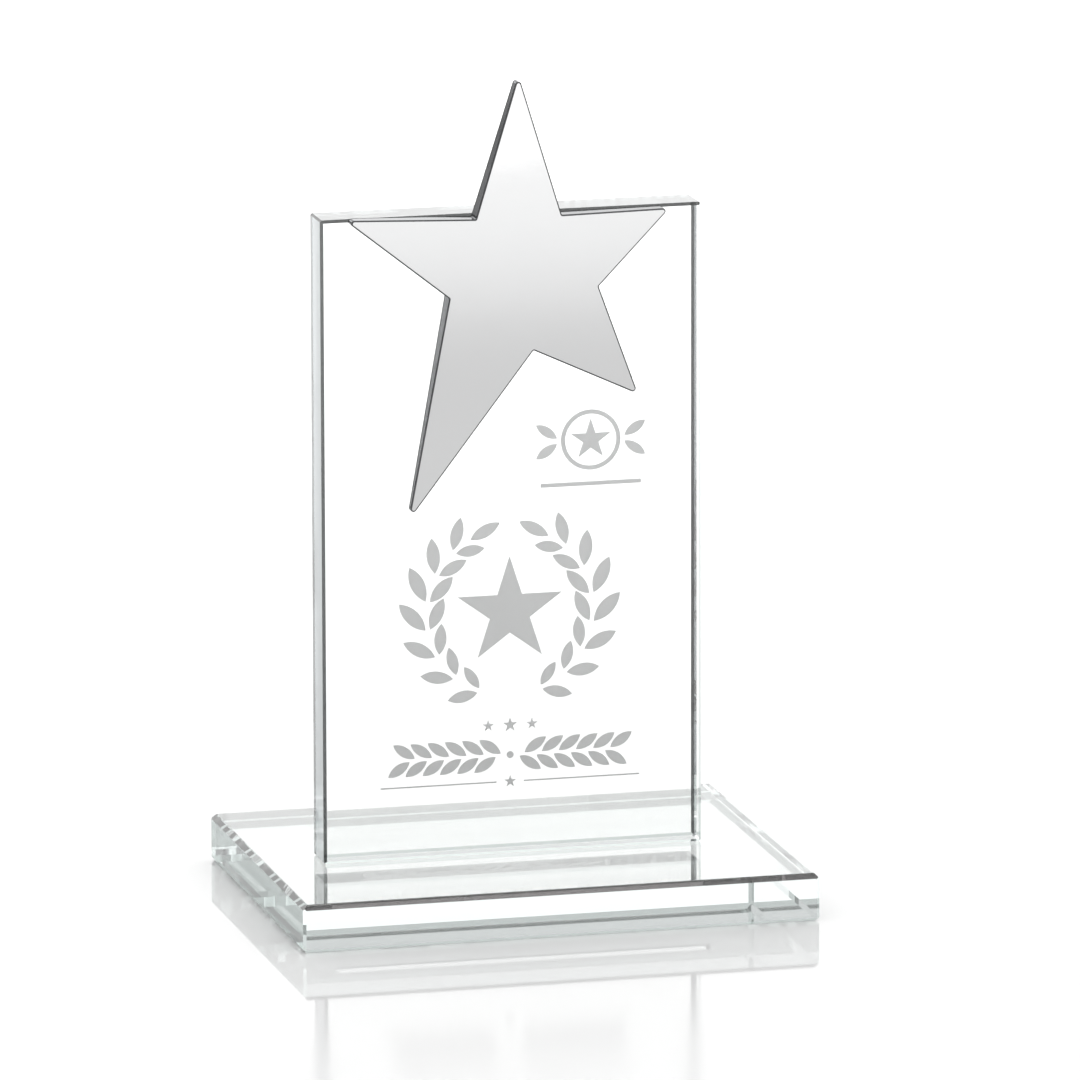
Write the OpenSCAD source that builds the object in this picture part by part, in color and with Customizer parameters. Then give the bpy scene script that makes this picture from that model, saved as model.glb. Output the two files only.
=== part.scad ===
// Star trophy: a clear glass panel stands on a bevelled glass base, and a
// chrome-plated star is bonded to the panel's front and rises over its top.
// Millimetres. Origin: centre of the base's underside. +Z up, front faces -Y.

/* [Base] */
// Width of the base, left to right
base_w = 164; // [160:1:200]
// Depth of the base, front to back
base_d = 127; // [90:1:150]
// Thickness of the base plate
base_t = 15; // [12:0.5:20]
// Bevel along the base's four top edges
base_bevel = 1.6; // [0.5:0.1:3]
// Small bevel along the base's four bottom edges
base_arris = 1.1; // [0.3:0.1:2]
// Small bevel down the base's four corners
base_corner = 0.9; // [0.3:0.1:2]

/* [Panel] */
// Width of the upright panel
panel_w = 121; // [112:1:135]
// Height of the upright panel
panel_h = 203; // [201:1:240]
// Thickness of the upright panel
panel_t = 14.5; // [10:0.5:18]
// Bevel around the panel's front and back faces
panel_arris = 0.9; // [0.3:0.1:2]
// Bevel across the thickness at the panel's four corners
panel_corner = 0.6; // [0.2:0.1:2]
// Panel centre to the right of the base centre
panel_x = -3; // [-6:0.5:6]
// Panel centre behind the base centre
panel_y = -6.3; // [-15:0.1:15]

/* [Star] */
// Thickness of the star at the middle of its crown
star_t = 6.8; // [6:0.1:9]
// Radius of the shallow crown on the star's front
crown_r = 680; // [600:10:1500]
// Radius that rounds the star's five points
tip_r = 1; // [0.4:0.1:1.2]

/* [Bonds] */
// Thickness of the adhesive film under the panel
base_bond_t = 0.1; // [0.05:0.05:0.3]
// Thickness of the adhesive film behind the star
star_bond_t = 0.15; // [0.1:0.05:0.4]
// How far the star's film stops short of the star's outline
star_bond_inset = 0.6; // [0.3:0.1:1]

/* [Etching] */
// Depth of the frosted etching
etch_depth = 0.2; // [0.1:0.05:0.5]
// Centre line of the etched layout, from the panel's centre line
etch_x = -1; // [-3:0.5:3]
// Height of the divider line above the panel's foot
divider_z = 23; // [20:0.5:26]
// Leaves on each side of each wreath branch
wreath_leaves = 7; // [4:1:9]
// Leaves on each side of each sprig over the divider
sprig_leaves = 6; // [3:1:8]

/* [Hidden] */

glass_colour = [0.86, 0.94, 0.92, 0.45];
film_colour = [0.95, 0.97, 0.95, 0.6];
chrome_colour = [0.8, 0.81, 0.82];

panel_foot = base_t + base_bond_t;
panel_top = panel_foot + panel_h;
panel_front = panel_y - panel_t / 2;
star_back = panel_front - star_bond_t;

// Star outline, clockwise from the top point, measured across from the
// panel's centre line and up from its top edge. The lower left leg is long.
star_points = [
    [1.3, 43.5], [14.3, -0.6], [49.2, -0.4], [26, -23.6], [39, -58.5],
    [5.2, -42.6], [-33.8, -95.3], [-21.5, -25.1], [-53.8, 0.5], [-13, -0.7]
];
crown_middle = [0, -22];
tip_steps = 8;

// Etched layout: heights are above the panel's foot
rule_size = [37, 0.4];
rule_gap = 8.8;
divider_star_r = 2;
sprig_length = 33;
sprig_rise = 8.5;
row_rise = 18;
row_pitch = 7;
wreath_z = 77;
wreath_r = 26.5;
wreath_from = -68;
wreath_to = 48;
wreath_star_r = 17.5;
leaf_splay = 34;
outer_leaf = [11.5, 4.3];
inner_leaf = [10, 3.9];
stem_gap = 0.5;
badge_at = [26, 130];
badge_r = 9.5;
badge_ring = 1.3;
bar_size = [32, 1.2];
bar_drop = 13.8;

// Position of a point on a circle
function on_circle(r, angle) = [r * cos(angle), r * sin(angle)];

// The arc that rounds corner p between its neighbours a and b
function rounded(a, p, b, r) =
    let (
        u = (a - p) / norm(a - p),
        v = (b - p) / norm(b - p),
        half = acos(u * v) / 2,
        middle = p + (u + v) / norm(u + v) * r / sin(half),
        start = p + u * r / tan(half),
        from = atan2(start[1] - middle[1], start[0] - middle[0]),
        sweep = 180 - 2 * half
    )
    [for (i = [0:tip_steps]) middle + on_circle(r, from - sweep * i / tip_steps)];

// The star's outline with its five points rounded and its inner corners sharp
function star_outline(points, r) =
    let (n = len(points))
    [for (i = [0:n - 1])
        each i % 2 == 0
            ? rounded(points[(i + n - 1) % n], points[i], points[(i + 1) % n], r)
            : [points[i]]];

// A regular five-pointed star of outer radius r
function small_star(r) = [for (i = [0:9]) on_circle(i % 2 == 0 ? r : r * 0.382, 90 + 36 * i)];

// A rectangle of width w and height h, standing on y = 0 about x = 0, with
// its lower corners cut by low and its upper corners by high
function cut_rectangle(w, h, low, high) = [
    [-w / 2 + low, 0], [w / 2 - low, 0], [w / 2, low], [w / 2, h - high],
    [w / 2 - high, h], [-w / 2 + high, h], [-w / 2, h - high], [-w / 2, low]
];

// A plate standing on z = 0, with its own bevel size along each set of edges
module plate(w, d, h, x_low, x_high, y_low, y_high, z_edges) {
    intersection() {
        translate([-w / 2, 0, 0])
            rotate([90, 0, 90])
                linear_extrude(w)
                    polygon(cut_rectangle(d, h, x_low, x_high));
        translate([0, d / 2, 0])
            rotate([90, 0, 0])
                linear_extrude(d)
                    polygon(cut_rectangle(w, h, y_low, y_high));
        translate([0, -d / 2, 0])
            linear_extrude(h)
                polygon(cut_rectangle(w, d, z_edges, z_edges));
    }
}

// Puts a flat drawing, x across and y up, on a plane of the panel's front.
// The drawing's thickness grows towards the viewer from y = plane.
module facing_front(plane, thickness) {
    translate([panel_x, plane, 0])
        rotate([90, 0, 0])
            linear_extrude(thickness)
                children();
}

// A pointed leaf of the given length and width from the origin along +X
module leaf(size) {
    r = (size[0] * size[0] + size[1] * size[1]) / (4 * size[1]);
    intersection_for (side = [-1, 1])
        translate([size[0] / 2, side * (r - size[1] / 2)])
            circle(r, $fn = 120);
}

// One side of the laurel wreath: leaves in pairs along an arc, largest at the
// middle, with the gaps between their feet standing for the stem
module wreath_branch() {
    for (i = [0:wreath_leaves - 1]) {
        at = wreath_from + (wreath_to - wreath_from) * i / (wreath_leaves - 1);
        scale_here = 1.09 - 0.035 * abs(2 * i - wreath_leaves);
        translate(on_circle(wreath_r, at)) {
            rotate(at + 90 - leaf_splay)
                translate([0.6, -stem_gap])
                    leaf(outer_leaf * scale_here);
            rotate(at + 90 + leaf_splay)
                translate([0.6, stem_gap])
                    leaf(inner_leaf * scale_here);
        }
    }
    end = wreath_to + 14;
    translate(on_circle(wreath_r, end))
        rotate(end + 90)
            leaf([10.5, 3.8]);
}

// Laurel wreath around a five-pointed star, centred on the origin
module wreath() {
    for (turn = [0, 1])
        mirror([turn, 0])
            wreath_branch();
    polygon(small_star(wreath_star_r));
}

// A leafy sprig that runs from the origin along +X
module sprig() {
    pitch = sprig_length / sprig_leaves;
    for (i = [0:sprig_leaves - 1], side = [-1, 1])
        translate([pitch * (i + (side > 0 ? 0.3 : 0)), side * stem_gap])
            rotate(side * leaf_splay)
                leaf([pitch * 1.5, 3.2]);
}

// Badge centred on the origin: a ring around a star, with leaves at its sides
module badge() {
    difference() {
        circle(badge_r, $fn = 96);
        circle(badge_r - badge_ring, $fn = 96);
    }
    polygon(small_star(badge_r * 0.7));
    for (turn = [0, 1], lift = [-1, 1])
        mirror([turn, 0])
            translate([badge_r + badge_ring, lift * 0.9])
                rotate(lift * leaf_splay)
                    leaf([8, 3]);
}

// Divider line with a star at its middle, a pair of sprigs and a row of stars
module divider() {
    for (side = [-1, 1])
        translate([side * (rule_gap + rule_size[0]) / 2, 0])
            square(rule_size, center = true);
    polygon(small_star(divider_star_r));
    translate([0, sprig_rise]) {
        circle(1.1, $fn = 48);
        for (turn = [0, 180])
            rotate(turn)
                translate([3, 0])
                    sprig();
    }
    for (i = [-1:1])
        translate([row_pitch * i, row_rise])
            polygon(small_star(i == 0 ? 2.4 : 1.9));
}

// The whole etched layout, x from its centre line and y from the panel's foot
module etching() {
    translate([0, divider_z])
        divider();
    translate([0, wreath_z])
        wreath();
    translate(badge_at) {
        badge();
        translate([0, -bar_drop])
            square(bar_size, center = true);
    }
}

module base() {
    color(glass_colour)
        plate(base_w, base_d, base_t, base_arris, base_bevel, base_arris, base_bevel, base_corner);
}

module panel() {
    color(glass_colour)
        difference() {
            translate([panel_x, panel_y, panel_foot])
                plate(panel_w, panel_t, panel_h, panel_arris, panel_arris,
                      panel_corner, panel_corner, panel_arris);
            translate([etch_x, 0, panel_foot])
                facing_front(panel_front + etch_depth, etch_depth + 1)
                    etching();
        }
}

module base_bond() {
    color(film_colour)
        translate([panel_x, panel_y, base_t])
            linear_extrude(base_bond_t)
                square([panel_w - 2 * panel_corner, panel_t - 2 * panel_arris], center = true);
}

module star() {
    color(chrome_colour)
        intersection() {
            translate([0, 0, panel_top])
                facing_front(star_back, star_t + 1)
                    polygon(star_outline(star_points, tip_r));
            translate([
                panel_x + crown_middle[0],
                star_back - star_t + crown_r,
                panel_top + crown_middle[1]
            ])
                rotate([90, 0, 0])
                    sphere(crown_r, $fn = 360);
        }
}

module star_bond() {
    color(film_colour)
        translate([0, 0, panel_top])
            facing_front(panel_front, star_bond_t)
                intersection() {
                    offset(delta = -star_bond_inset)
                        polygon(star_outline(star_points, tip_r));
                    translate([-panel_w / 2, -panel_h])
                        square([panel_w, panel_h - panel_arris - star_bond_inset]);
                }
}

base();
panel();
base_bond();
star();
star_bond();
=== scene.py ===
"""Star trophy: the looks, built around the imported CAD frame. Metres, +Z up, front faces -Y."""
import math

import bmesh
import bpy
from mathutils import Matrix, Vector
from mathutils.geometry import delaunay_2d_cdt


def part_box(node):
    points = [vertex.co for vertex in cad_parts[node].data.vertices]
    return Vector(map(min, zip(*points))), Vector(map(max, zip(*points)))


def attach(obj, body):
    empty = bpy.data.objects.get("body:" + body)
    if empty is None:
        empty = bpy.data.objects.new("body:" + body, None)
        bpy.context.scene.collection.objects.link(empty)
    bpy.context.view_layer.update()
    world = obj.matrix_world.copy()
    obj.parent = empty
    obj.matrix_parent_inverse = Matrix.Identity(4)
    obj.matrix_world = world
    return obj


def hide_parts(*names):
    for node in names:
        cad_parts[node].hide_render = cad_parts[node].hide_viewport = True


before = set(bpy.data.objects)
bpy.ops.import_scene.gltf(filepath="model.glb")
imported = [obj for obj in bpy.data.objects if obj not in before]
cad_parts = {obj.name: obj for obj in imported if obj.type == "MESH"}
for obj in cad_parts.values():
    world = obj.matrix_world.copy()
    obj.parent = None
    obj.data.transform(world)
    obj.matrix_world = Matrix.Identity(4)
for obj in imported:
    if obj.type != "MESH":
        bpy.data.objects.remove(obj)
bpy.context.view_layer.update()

MM = 0.001
BODY = "root"

BASE_LOW, BASE_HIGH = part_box("base")
PANEL_LOW, PANEL_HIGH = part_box("panel")
STAR_LOW, STAR_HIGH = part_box("star")
BASE_BOND_LOW, BASE_BOND_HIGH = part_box("base_bond")
STAR_BOND_LOW, STAR_BOND_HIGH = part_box("star_bond")

# Shape of the star casting, as in the CAD model
TIP_RADIUS = 1.0 * MM
CROWN_RADIUS = 680 * MM
CROWN_DROP = 22 * MM
# Finer than the CAD model: rounded inner corners, a rolled front rim and a soft back edge
INNER_RADIUS = 0.4 * MM
RIM_RADIUS = 0.45 * MM
BACK_RADIUS = 0.2 * MM
RIM_STEPS = 6
BACK_STEPS = 2
CORNER_STEPS = 10
CROWN_GRID = 2.0 * MM
CROWN_MARGIN = 0.4 * CROWN_GRID
# Depth of the shadow line round the star's back edge
BACK_LINE = 0.8 * MM
# Longer than any chord of the CAD model's rounded points, and shorter than the star's sides
SHORTEST_SIDE = 5 * MM

# Deeper than the etched pockets, and shallower than the panel's bevels
ETCH_REACH = 0.5 * MM
# Higher than the bevels at the panel's foot
FOOT_REACH = 2 * MM
# Depth of the painted shade line down the back of the panel's sides
SIDE_SHADE_LINE = 3.8 * MM

# Points nearer than this are one point, and planes nearer than this are one plane
SAME_POINT = 0.001 * MM
SAME_PLANE = 0.01 * MM
# A face is square to an axis from SQUARE of its normal, and leans towards it from LEANING
SQUARE = 0.99
LEANING = 0.1

# Camera, as the photograph was taken: a long lens from the front left
CAMERA_AZIMUTH = -14.35
CAMERA_ELEVATION = 12.19
CAMERA_ROLL = -0.14
CAMERA_DISTANCE = 3.913
CAMERA_LENS = 420.1
CAMERA_TARGET = (8.9 * MM, 111.7 * MM)

# Studio light, as radiance where 1 is paper white. Directions are seen from the trophy, in
# degrees: across from straight behind it towards its right, and up from the horizon.
# The walls give way to the brighter ceiling over CEILING_FADE.
WALL_LIGHT = 0.75
CEILING_LIGHT = 1.36
CEILING_FADE = (20, 45)
# Distances from the base, and the floor's roughness or brightness at each; the brightness is painted
# shade, darker near the base
FLOOR_SHINE = (40 * MM, 140 * MM, 0.03, 0.15)
FLOOR_SHADE = (200 * MM, 800 * MM, 0.74, 0.95)
# Each card's middle, half width and side fade across; its top and top fade up; its light
STUDIO_CARDS = [
    (26, 42, 2, 6, 16, 2.5),  # lit backdrop
    (166, 35, 20, 17, 4, 0.22),  # dark camera side
    (165, 25, 20, 11.2, 1.5, 1.5),  # bright strip under it
    (-26.5, 10, 1, 8, 6, 0.2),  # dark flag at the backdrop's left
]


# ---------------------------------------------------------------- materials

def new_material(name):
    """An empty node material with its output, and helpers to add and join nodes."""
    mat = bpy.data.materials.new(name)
    mat.use_nodes = True
    nodes, links = mat.node_tree.nodes, mat.node_tree.links
    nodes.clear()
    out = nodes.new("ShaderNodeOutputMaterial")

    def add(kind, **values):
        node = nodes.new(kind)
        for key, value in values.items():
            if key in node.inputs:
                node.inputs[key].default_value = value
            else:
                setattr(node, key, value)
        return node

    return mat, out, add, links.new


def polished_glass(name, colour_and_shade, roughness=0.0, waviness=0.003, clarity=1):
    """Plate glass with a faint surface wave and a few dull specks; its colour is the glass's own faint
    green on clear faces and painted shade on darker ones; clarity 1 is fully clear.
    """
    mat, out, add, link = new_material(name)
    glass = add("ShaderNodeBsdfPrincipled")
    glass.inputs["Base Color"].default_value = (*colour_and_shade, 1)
    glass.inputs["Transmission Weight"].default_value = clarity
    glass.inputs["IOR"].default_value = 1.52
    coords = add("ShaderNodeTexCoord")
    smudge = add("ShaderNodeTexNoise", Scale=45, Detail=4, Roughness=0.6)
    link(coords.outputs["Object"], smudge.inputs["Vector"])
    ramp = add("ShaderNodeMapRange")
    ramp.inputs["From Min"].default_value = 0.55
    ramp.inputs["From Max"].default_value = 0.8
    ramp.inputs["To Min"].default_value = roughness
    ramp.inputs["To Max"].default_value = roughness + 0.02
    link(smudge.outputs["Fac"], ramp.inputs["Value"])
    link(ramp.outputs["Result"], glass.inputs["Roughness"])
    wave = add("ShaderNodeTexNoise", Scale=18, Detail=1)
    link(coords.outputs["Object"], wave.inputs["Vector"])
    bump = add("ShaderNodeBump", Strength=waviness, Distance=0.0002)
    link(wave.outputs["Fac"], bump.inputs["Height"])
    link(bump.outputs["Normal"], glass.inputs["Normal"])
    link(glass.outputs["BSDF"], out.inputs["Surface"])
    return mat


def frosted_glass(name):
    """Sand-etched glass: an even grey frost with a fine grain."""
    mat, out, add, link = new_material(name)
    glass = add("ShaderNodeBsdfPrincipled")
    glass.inputs["Base Color"].default_value = (0.35, 0.355, 0.355, 1)
    glass.inputs["Transmission Weight"].default_value = 0.6
    glass.inputs["IOR"].default_value = 1.45
    glass.inputs["Roughness"].default_value = 0.6
    coords = add("ShaderNodeTexCoord")
    grain = add("ShaderNodeTexNoise", Scale=4000, Detail=2)
    link(coords.outputs["Object"], grain.inputs["Vector"])
    bump = add("ShaderNodeBump", Strength=0.3, Distance=0.00002)
    link(grain.outputs["Fac"], bump.inputs["Height"])
    link(bump.outputs["Normal"], glass.inputs["Normal"])
    link(glass.outputs["BSDF"], out.inputs["Surface"])
    return mat


def clear_joint(name):
    """Where glass meets the adhesive that wets it: light goes straight on."""
    mat, out, add, link = new_material(name)
    clear = add("ShaderNodeBsdfTransparent")
    link(clear.outputs["BSDF"], out.inputs["Surface"])
    return mat


def chrome(name, colour_and_shade, roughness, glance):
    """Bright chrome plate over a polished casting, a little uneven; a darker tint is painted shade, and
    glance below 1 dims it seen edge on, painted shade too.
    """
    mat, out, add, link = new_material(name)
    metal = add("ShaderNodeBsdfPrincipled")
    metal.inputs["Base Color"].default_value = (*colour_and_shade, 1)
    metal.inputs["Metallic"].default_value = 1
    metal.inputs["Specular Tint"].default_value = (glance, glance, glance, 1)
    coords = add("ShaderNodeTexCoord")
    cloud = add("ShaderNodeTexNoise", Scale=60, Detail=5, Roughness=0.55)
    link(coords.outputs["Object"], cloud.inputs["Vector"])
    ramp = add("ShaderNodeMapRange")
    ramp.inputs["From Min"].default_value = 0.3
    ramp.inputs["From Max"].default_value = 0.7
    ramp.inputs["To Min"].default_value = roughness * 0.8
    ramp.inputs["To Max"].default_value = roughness * 1.25
    link(cloud.outputs["Fac"], ramp.inputs["Value"])
    link(ramp.outputs["Result"], metal.inputs["Roughness"])
    swell = add("ShaderNodeTexNoise", Scale=25, Detail=2)
    link(coords.outputs["Object"], swell.inputs["Vector"])
    bump = add("ShaderNodeBump", Strength=0.15, Distance=0.0005)
    link(swell.outputs["Fac"], bump.inputs["Height"])
    link(bump.outputs["Normal"], metal.inputs["Normal"])
    link(metal.outputs["BSDF"], out.inputs["Surface"])
    return mat


# Glass, by where it lies: clear faces in the glass's own faint green, then faces, edges and bevels
# darkened with painted shade, each tint set to how dark that face looked from the camera
GLASS_FACE = polished_glass("glass_face", (0.985, 0.995, 0.99))
# Painted shade on the base's underside
GLASS_UNDER_SHADE = polished_glass("glass_under_shade", (0.81, 0.84, 0.83))
# Painted shade on the base's front and back
GLASS_SIDE_SHADE = polished_glass("glass_side_shade", (0.64, 0.67, 0.665))
GLASS_EDGE = polished_glass("glass_edge", (0.93, 0.97, 0.96))
# Painted shade on the panel's left side: darker and milkier than its right side
GLASS_LEFT_SHADE = polished_glass("glass_left_shade", (0.60, 0.645, 0.66), clarity=0.35)
# Painted shade, near black, on the panel's top
GLASS_TOP_SHADE = polished_glass("glass_top_shade", (0.07, 0.082, 0.084))
# Painted shade on the base's bevels and on the panel's foot and front right bevels
GLASS_BEVEL_SHADE = polished_glass("glass_bevel_shade", (0.74, 0.83, 0.805))
# Painted shade on the base's ends
GLASS_END_SHADE = polished_glass("glass_end_shade", (0.47, 0.56, 0.535))
# Painted shade, near black, on the panel's bevels
GLASS_ARRIS_SHADE = polished_glass("glass_arris_shade", (0.011, 0.012, 0.012), 0.02, 0.01)
# Painted shade, near black, on the base's top front bevel
GLASS_LIP_SHADE = polished_glass("glass_lip_shade", (0.026, 0.024, 0.024))
# Painted shade line down the back of the panel's sides
GLASS_SHADE_LINE = polished_glass("glass_shade_line", (0.09, 0.095, 0.10))
GLASS_FROST = frosted_glass("glass_frost")
GLASS_JOINT = clear_joint("glass_joint")
STAR_FACE = chrome("star_face", (0.70, 0.702, 0.705), 0.08, 1)
# Painted shade: the star's sides and rim are darker copies of its face metal
STAR_SIDE_SHADE = chrome("star_side_shade", (0.32, 0.325, 0.335), 0.12, 0.62)
STAR_RIM_SHADE = chrome("star_rim_shade", (0.11, 0.112, 0.115), 0.1, 0.2)


# ---------------------------------------------------------------- mesh tools

def new_piece(name, bm, materials, node):
    """A piece from a bmesh, riding on the body and standing for a CAD node."""
    mesh = bpy.data.meshes.new(name)
    bm.to_mesh(mesh)
    bm.free()
    for mat in materials:
        mesh.materials.append(mat)
    piece = bpy.data.objects.new(name, mesh)
    bpy.context.scene.collection.objects.link(piece)
    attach(piece, BODY)
    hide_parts(node)
    return piece


def welded(node):
    """A CAD node's shape as a bmesh of whole flat faces, in place of its triangles."""
    bm = bmesh.new()
    bm.from_mesh(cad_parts[node].data)
    bmesh.ops.remove_doubles(bm, verts=bm.verts, dist=SAME_POINT)
    bmesh.ops.dissolve_limit(bm, angle_limit=math.radians(0.2), verts=bm.verts, edges=bm.edges)
    for face in bm.faces:
        face.smooth = False
    return bm


# ---------------------------------------------------------------- glass

def flat_along(face):
    """The axis that a face squarely faces, as "x", "y" or "z", or None on a bevel."""
    for axis, value in zip("xyz", face.normal):
        if abs(value) > SQUARE:
            return axis
    return None


def cut_faces(bm, faces, point, normal):
    """Splits some faces where a plane crosses them."""
    parts = faces + list({e for f in faces for e in f.edges}) + list({v for f in faces for v in f.verts})
    bmesh.ops.bisect_plane(bm, geom=parts, plane_co=point, plane_no=normal, dist=1e-7)


def build_base():
    """The base, with its top cut round the bond so that light passes through the joint, and painted shade
    on all but its top.
    """
    bm = welded("base")
    cuts = [
        ((BASE_BOND_LOW.x, 0, 0), (1, 0, 0)),
        ((BASE_BOND_HIGH.x, 0, 0), (1, 0, 0)),
        ((0, BASE_BOND_LOW.y, 0), (0, 1, 0)),
        ((0, BASE_BOND_HIGH.y, 0), (0, 1, 0)),
    ]
    for point, normal in cuts:
        cut_faces(bm, [f for f in bm.faces if f.normal.z > SQUARE], point, normal)
    materials = [GLASS_FACE, GLASS_UNDER_SHADE, GLASS_SIDE_SHADE, GLASS_END_SHADE, GLASS_BEVEL_SHADE, GLASS_LIP_SHADE, GLASS_JOINT]
    for face in bm.faces:
        middle = face.calc_center_median()
        bonded_x = BASE_BOND_LOW.x < middle.x < BASE_BOND_HIGH.x
        bonded_y = BASE_BOND_LOW.y < middle.y < BASE_BOND_HIGH.y
        axis = flat_along(face)
        if axis is None:
            front_lip = face.normal.z > LEANING and face.normal.y < -LEANING
            finish_and_shade = GLASS_LIP_SHADE if front_lip else GLASS_BEVEL_SHADE
        elif axis != "z":
            finish_and_shade = GLASS_SIDE_SHADE if axis == "y" else GLASS_END_SHADE
        elif face.normal.z < 0:
            finish_and_shade = GLASS_UNDER_SHADE
        else:
            finish_and_shade = GLASS_JOINT if bonded_x and bonded_y else GLASS_FACE
        face.material_index = materials.index(finish_and_shade)
    return new_piece("base_glass", bm, materials, "base")


def build_panel():
    """The panel, with frosted pockets and a finish for each kind of face; the darker finishes are painted
    shade.
    """
    bm = welded("panel")
    front, back, foot = PANEL_LOW.y, PANEL_HIGH.y, PANEL_LOW.z
    sides = [f for f in bm.faces if flat_along(f) == "x" and f.calc_center_median().y > front + ETCH_REACH]
    cut_faces(bm, sides, (0, back - SIDE_SHADE_LINE, 0), (0, 1, 0))
    materials = [
        GLASS_FACE, GLASS_EDGE, GLASS_LEFT_SHADE, GLASS_SHADE_LINE, GLASS_TOP_SHADE,
        GLASS_ARRIS_SHADE, GLASS_BEVEL_SHADE, GLASS_FROST, GLASS_JOINT,
    ]
    for face in bm.faces:
        middle = face.calc_center_median()
        axis = flat_along(face)
        in_pocket = front + SAME_PLANE < middle.y < front + ETCH_REACH and axis == "y"
        pocket_wall = axis != "y" and abs(face.normal.y) < 1 - SQUARE and middle.y < front + ETCH_REACH
        if in_pocket or pocket_wall:
            finish_and_shade = GLASS_FROST
        elif axis == "z" and middle.z < foot + SAME_PLANE:
            finish_and_shade = GLASS_JOINT
        elif axis is None:
            # Painted shade on the bevels: near black, lighter at the foot and the front right
            front_right = face.normal.x > 0.5 and face.normal.y < -0.5
            outer = middle.z < foot + FOOT_REACH or front_right
            finish_and_shade = GLASS_BEVEL_SHADE if outer else GLASS_ARRIS_SHADE
        else:
            finish_and_shade = {"x": GLASS_EDGE, "y": GLASS_FACE, "z": GLASS_TOP_SHADE}[axis]
            # Painted shade on the left side
            if axis == "x" and face.normal.x < 0:
                finish_and_shade = GLASS_LEFT_SHADE
            # Painted shade line down the back of the sides
            if axis == "x" and middle.y > back - SIDE_SHADE_LINE:
                finish_and_shade = GLASS_SHADE_LINE
        face.material_index = materials.index(finish_and_shade)
    return new_piece("panel_glass", bm, materials, "panel")


def build_base_bond():
    """The film under the panel: clear where it wets glass, and glassy at its edges."""
    bm = welded("base_bond")
    for face in bm.faces:
        face.material_index = 0 if abs(face.normal.z) > SQUARE else 1
    return new_piece("base_bond_film", bm, [GLASS_JOINT, GLASS_FACE], "base_bond")


def build_star_bond():
    """The film behind the star, drawn a hair thinner so that it touches neither neighbour."""
    bm = welded("star_bond")
    middle = (STAR_BOND_LOW.y + STAR_BOND_HIGH.y) / 2
    gap = 0.015 * MM
    for vert in bm.verts:
        vert.co.y += gap if vert.co.y < middle else -gap
    return new_piece("star_bond_film", bm, [GLASS_FACE], "star_bond")


# ---------------------------------------------------------------- star

def back_loop(node):
    """The outline of a CAD node's flat back, as ordered points across and up."""
    bm = bmesh.new()
    bm.from_mesh(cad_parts[node].data)
    bmesh.ops.remove_doubles(bm, verts=bm.verts, dist=SAME_POINT)
    back = max(v.co.y for v in bm.verts)
    # A list, because a set's order changes from run to run and the outline would start elsewhere
    flat = [f for f in bm.faces if all(abs(v.co.y - back) < SAME_PLANE for v in f.verts)]
    rim = {}
    for face in flat:
        for loop in face.loops:
            if not any(f in flat for f in loop.edge.link_faces if f is not face):
                rim[loop.vert.index] = (loop.link_loop_next.vert.index, loop.vert.co.xz.copy())
    start = next(iter(rim))
    points, at = [], start
    while True:
        points.append(rim[at][1])
        at = rim[at][0]
        if at == start:
            break
    bm.free()
    area = sum(a.cross(b) for a, b in zip(points, points[1:] + points[:1]))
    return points if area > 0 else points[::-1]


def crossing(p, u, q, v):
    """Where the line through p along u meets the line through q along v."""
    return p + u * ((q - p).cross(v) / u.cross(v))


def sharp_corners(points):
    """The corners where a loop's long straight edges would meet."""
    edges = []
    for a, b in zip(points, points[1:] + points[:1]):
        along = (b - a).normalized()
        if edges and abs(edges[-1][1].cross(along)) < 1e-3 and (a - edges[-1][2]).length < 1e-7:
            edges[-1][2] = b
        else:
            edges.append([a, along, b])
    if abs(edges[0][1].cross(edges[-1][1])) < 1e-3:
        edges[0][0] = edges.pop()[0]
    long = [e for e in edges if (e[2] - e[0]).length > SHORTEST_SIDE]
    return [crossing(e[0], e[1], f[0], f[1]) for e, f in zip(long, long[1:] + long[:1])]


def rounded_outline(corners):
    """Points and outward normals round the outline, with an arc at every corner."""
    found = []
    n = len(corners)
    for i, corner in enumerate(corners):
        before = (corners[i - 1] - corner).normalized()
        after = (corners[(i + 1) % n] - corner).normalized()
        half = before.angle(after) / 2
        convex = before.cross(after) < 0
        radius = TIP_RADIUS if convex else INNER_RADIUS
        middle = corner + (before + after).normalized() * radius / math.sin(half)
        start = corner + before * radius / math.tan(half) - middle
        end = corner + after * radius / math.tan(half) - middle
        a0 = math.atan2(start.y, start.x)
        turn = start.angle_signed(end)
        for k in range(CORNER_STEPS + 1):
            angle = a0 - turn * k / CORNER_STEPS
            ray = Vector((math.cos(angle), math.sin(angle)))
            found.append((middle + ray * radius, ray if convex else -ray))
    return found


def crown_y(x, z):
    """How far forward the crowned front lies at a point, and its normal there."""
    cx = (PANEL_LOW.x + PANEL_HIGH.x) / 2
    cz = PANEL_HIGH.z - CROWN_DROP
    cy = STAR_LOW.y + CROWN_RADIUS
    dx, dz = x - cx, z - cz
    dy = -math.sqrt(CROWN_RADIUS ** 2 - dx * dx - dz * dz)
    return cy + dy, Vector((dx, dy, dz)).normalized()


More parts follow.
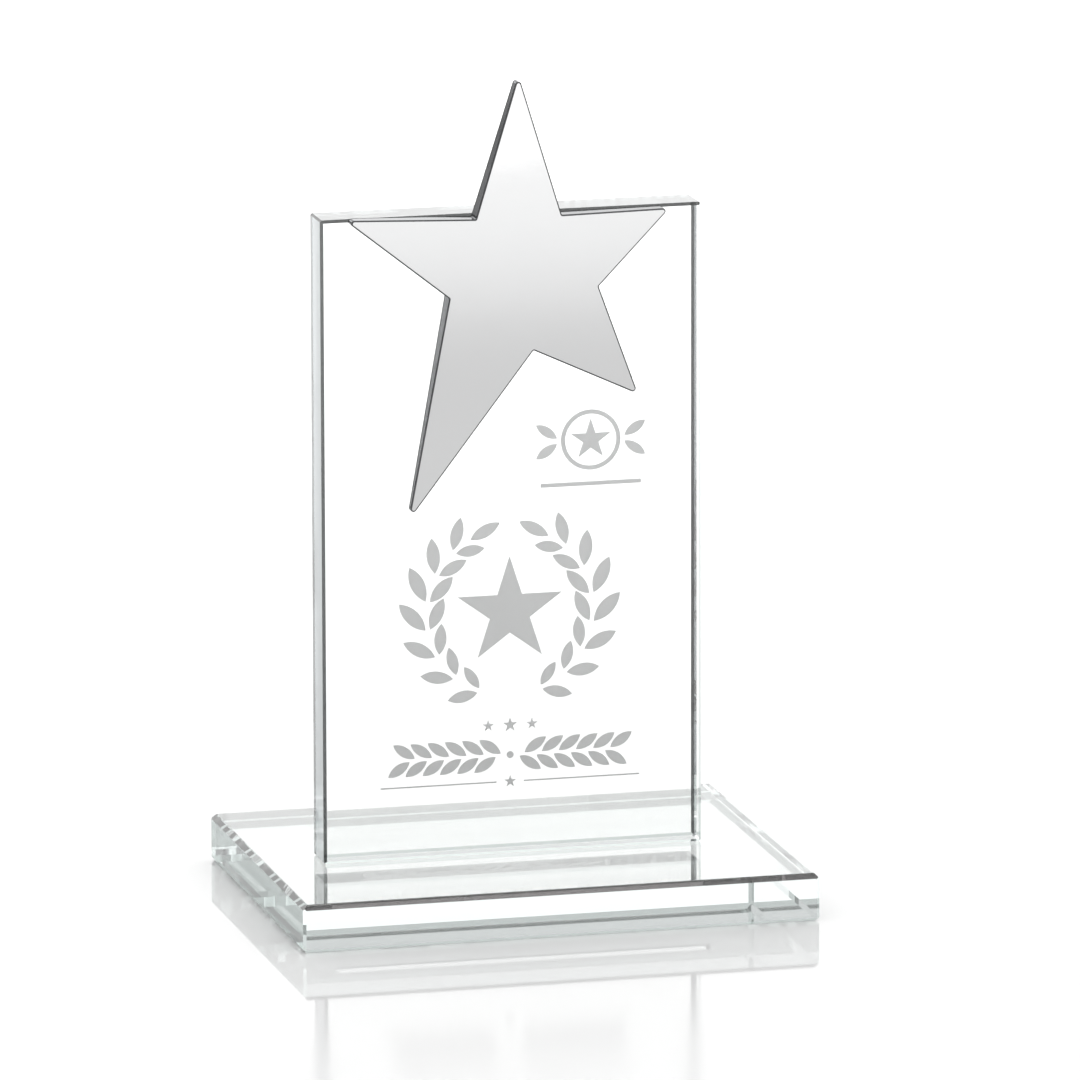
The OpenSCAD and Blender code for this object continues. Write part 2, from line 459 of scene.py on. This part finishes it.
def build_star():
    """The casting: rings from the back edge over the sides and rim, then the crowned face."""
    outline = rounded_outline(sharp_corners(back_loop("star")))
    back = STAR_HIGH.y
    rings = []
    for k in range(BACK_STEPS + 1):
        angle = math.pi / 2 * (BACK_STEPS - k) / BACK_STEPS
        inset = BACK_RADIUS * (1 - math.cos(angle))
        forward = BACK_RADIUS * (1 - math.sin(angle))
        lean = Vector((math.cos(angle), math.sin(angle)))
        rings.append([
            (p - n * inset, back - forward, Vector((n.x * lean.x, lean.y, n.y * lean.x)))
            for p, n in outline
        ])
    rings.append([(p, back - BACK_LINE, Vector((n.x, 0, n.y))) for p, n in outline])
    side = len(rings) - 1
    for k in range(RIM_STEPS + 1):
        angle = math.pi / 2 * k / RIM_STEPS
        inset = RIM_RADIUS * (1 - math.cos(angle))
        ring = []
        for p, n in outline:
            at = p - n * inset
            front, face_normal = crown_y(at.x, at.y)
            depth = front + RIM_RADIUS * (1 - math.sin(angle))
            outward = Vector((n.x, 0, n.y))
            normal = (outward * math.cos(angle) + face_normal * math.sin(angle)).normalized()
            ring.append((at, depth, normal))
        rings.append(ring)

    bm = bmesh.new()
    normals = []

    def add_vert(at, y, normal):
        vert = bm.verts.new((at.x, y, at.y))
        normals.append(normal)
        return vert

    loops = [[add_vert(*spot) for spot in ring] for ring in rings]
    n = len(outline)
    for step, (low, high) in enumerate(zip(loops, loops[1:])):
        for i in range(n):
            face = bm.faces.new((low[i], low[(i + 1) % n], high[(i + 1) % n], high[i]))
            # The sides take the side metal, and the back edge, the shadow line and the front rim the rim
            # metal; both are painted shade
            face.material_index = 1 if step == side else 2
    bm.faces.new(loops[0][::-1]).material_index = 1

    ring = [spot[0] for spot in rings[-1]]
    low_x, high_x = min(p.x for p in ring), max(p.x for p in ring)
    low_z, high_z = min(p.y for p in ring), max(p.y for p in ring)
    inside = []
    rows = int((high_z - low_z) / CROWN_GRID)
    columns = int((high_x - low_x) / CROWN_GRID)
    for r in range(1, rows + 1):
        for c in range(1, columns + 1):
            p = Vector((low_x + (c + 0.5 * (r % 2)) * CROWN_GRID, low_z + r * CROWN_GRID))
            if inside_by(p, ring, CROWN_MARGIN):
                inside.append(p)
    edges = [(i, (i + 1) % n) for i in range(n)]
    points, _, faces, origins, _, _ = delaunay_2d_cdt(ring + inside, edges, [], 1, 1e-9)
    verts = []
    for p, origin in zip(points, origins):
        if origin and origin[0] < n:
            verts.append(loops[-1][origin[0]])
        else:
            verts.append(add_vert(p, *crown_y(p.x, p.y)))
    for face in faces:
        bm.faces.new([verts[i] for i in face])
    bmesh.ops.recalc_face_normals(bm, faces=bm.faces)
    for face in bm.faces:
        face.smooth = True
    star = new_piece("star_casting", bm, [STAR_FACE, STAR_SIDE_SHADE, STAR_RIM_SHADE], "star")
    star.data.normals_split_custom_set_from_vertices(normals)
    return star


def inside_by(p, loop, margin):
    """True if p is inside a closed loop, and no nearer to it than margin."""
    inside = False
    for a, b in zip(loop, loop[1:] + loop[:1]):
        if (a.y > p.y) != (b.y > p.y) and p.x < a.x + (p.y - a.y) * (b.x - a.x) / (b.y - a.y):
            inside = not inside
        along = b - a
        share = max(0.0, min(1.0, (p - a).dot(along) / along.length_squared))
        if (a + along * share - p).length < margin:
            return False
    return inside


build_base()
build_panel()
build_base_bond()
build_star_bond()
build_star()


# ---------------------------------------------------------------- studio

def build_floor():
    """A pale polished tabletop that mirrors what is near it and dulls further out, with painted shade
    darkening it near the trophy.
    """
    mat, out, add, link = new_material("floor")
    sheet = add("ShaderNodeBsdfPrincipled")
    sheet.inputs["IOR"].default_value = 1.42
    coords = add("ShaderNodeTexCoord")
    far = add("ShaderNodeVectorMath", operation="ABSOLUTE")
    link(coords.outputs["Object"], far.inputs[0])
    past = add("ShaderNodeVectorMath", operation="SUBTRACT")
    past.inputs[1].default_value = (BASE_HIGH.x, BASE_HIGH.y, 0)
    link(far.outputs["Vector"], past.inputs[0])
    clear = add("ShaderNodeVectorMath", operation="MAXIMUM")
    clear.inputs[1].default_value = (0, 0, 0)
    link(past.outputs["Vector"], clear.inputs[0])
    length = add("ShaderNodeVectorMath", operation="LENGTH")
    link(clear.outputs["Vector"], length.inputs[0])
    # The Base Color ramp is painted shade round the base
    for values, socket in ((FLOOR_SHINE, "Roughness"), (FLOOR_SHADE, "Base Color")):
        ramp = add("ShaderNodeMapRange")
        for name, value in zip(("From Min", "From Max", "To Min", "To Max"), values):
            ramp.inputs[name].default_value = value
        link(length.outputs["Value"], ramp.inputs["Value"])
        link(ramp.outputs["Result"], sheet.inputs[socket])
    link(sheet.outputs["BSDF"], out.inputs["Surface"])
    bm = bmesh.new()
    bmesh.ops.create_grid(bm, x_segments=1, y_segments=1, size=3)
    mesh = bpy.data.meshes.new("floor")
    bm.to_mesh(mesh)
    bm.free()
    mesh.materials.append(mat)
    floor = bpy.data.objects.new("floor", mesh)
    floor.location.z = BASE_LOW.z - 0.1 * MM
    bpy.context.scene.collection.objects.link(floor)


def build_world():
    """A pale studio: even walls under a brighter ceiling, with a few cards along the walls."""
    world = bpy.data.worlds.new("studio")
    bpy.context.scene.world = world
    world.use_nodes = True
    nodes, link = world.node_tree.nodes, world.node_tree.links.new

    def math_node(operation, *values):
        """A Math node, with each value a number or another node's output."""
        node = nodes.new("ShaderNodeMath")
        node.operation = operation
        for socket, value in zip(node.inputs, values):
            if isinstance(value, (int, float)):
                socket.default_value = value
            else:
                link(value, socket)
        return node.outputs[0]

    def fade(value, full, gone, high=1.0, low=0.0):
        """From high to low, smoothly, as value goes from full to gone."""
        node = nodes.new("ShaderNodeMapRange")
        node.interpolation_type = "SMOOTHSTEP"
        link(value, node.inputs["Value"])
        for name, number in (("From Min", full), ("From Max", gone), ("To Min", high), ("To Max", low)):
            node.inputs[name].default_value = number
        return node.outputs["Result"]

    coords = nodes.new("ShaderNodeTexCoord")
    split = nodes.new("ShaderNodeSeparateXYZ")
    link(coords.outputs["Generated"], split.inputs["Vector"])
    across = math_node("DEGREES", math_node("ARCTAN2", split.outputs["X"], split.outputs["Y"]))
    up = math_node("DEGREES", math_node("ARCSINE", split.outputs["Z"]))
    level = fade(up, *CEILING_FADE, WALL_LIGHT, CEILING_LIGHT)
    for middle, half_width, side_fade, top, top_fade, light in STUDIO_CARDS:
        offset = math_node("WRAP", math_node("SUBTRACT", across, middle), 180, -180)
        within = fade(math_node("ABSOLUTE", offset), half_width, half_width + side_fade)
        share = math_node("MULTIPLY", within, fade(up, top, top + top_fade))
        gap = math_node("SUBTRACT", light, level)
        level = math_node("ADD", level, math_node("MULTIPLY", share, gap))
    background = nodes["Background"]
    background.inputs["Color"].default_value = (1, 1, 1, 1)
    link(level, background.inputs["Strength"])


def build_camera():
    """The camera at the photograph's angle, aimed a little right of the trophy's middle."""
    a, e = math.radians(CAMERA_AZIMUTH), math.radians(CAMERA_ELEVATION)
    back = Vector((math.sin(a) * math.cos(e), -math.cos(a) * math.cos(e), math.sin(e)))
    right = Vector((math.cos(a), math.sin(a), 0))
    target = right * CAMERA_TARGET[0] + Vector((0, 0, CAMERA_TARGET[1]))
    data = bpy.data.cameras.new("camera")
    data.lens = CAMERA_LENS
    data.sensor_width = 36
    data.clip_start, data.clip_end = 0.1, 50
    camera = bpy.data.objects.new("camera", data)
    camera.location = target + back * CAMERA_DISTANCE
    look = (-back).to_track_quat("-Z", "Y").to_matrix()
    roll = math.radians(CAMERA_ROLL)
    camera.rotation_euler = look.to_euler()
    bpy.context.scene.collection.objects.link(camera)
    camera.rotation_euler.rotate_axis("Z", roll)
    bpy.context.scene.camera = camera


build_floor()
build_world()
build_camera()
bpy.context.scene.view_settings.view_transform = "Standard"
bpy.context.scene.cycles.max_bounces = 32
bpy.context.scene.cycles.transmission_bounces = 32
bpy.context.scene.cycles.glossy_bounces = 16
bpy.context.scene.cycles.transparent_max_bounces = 16
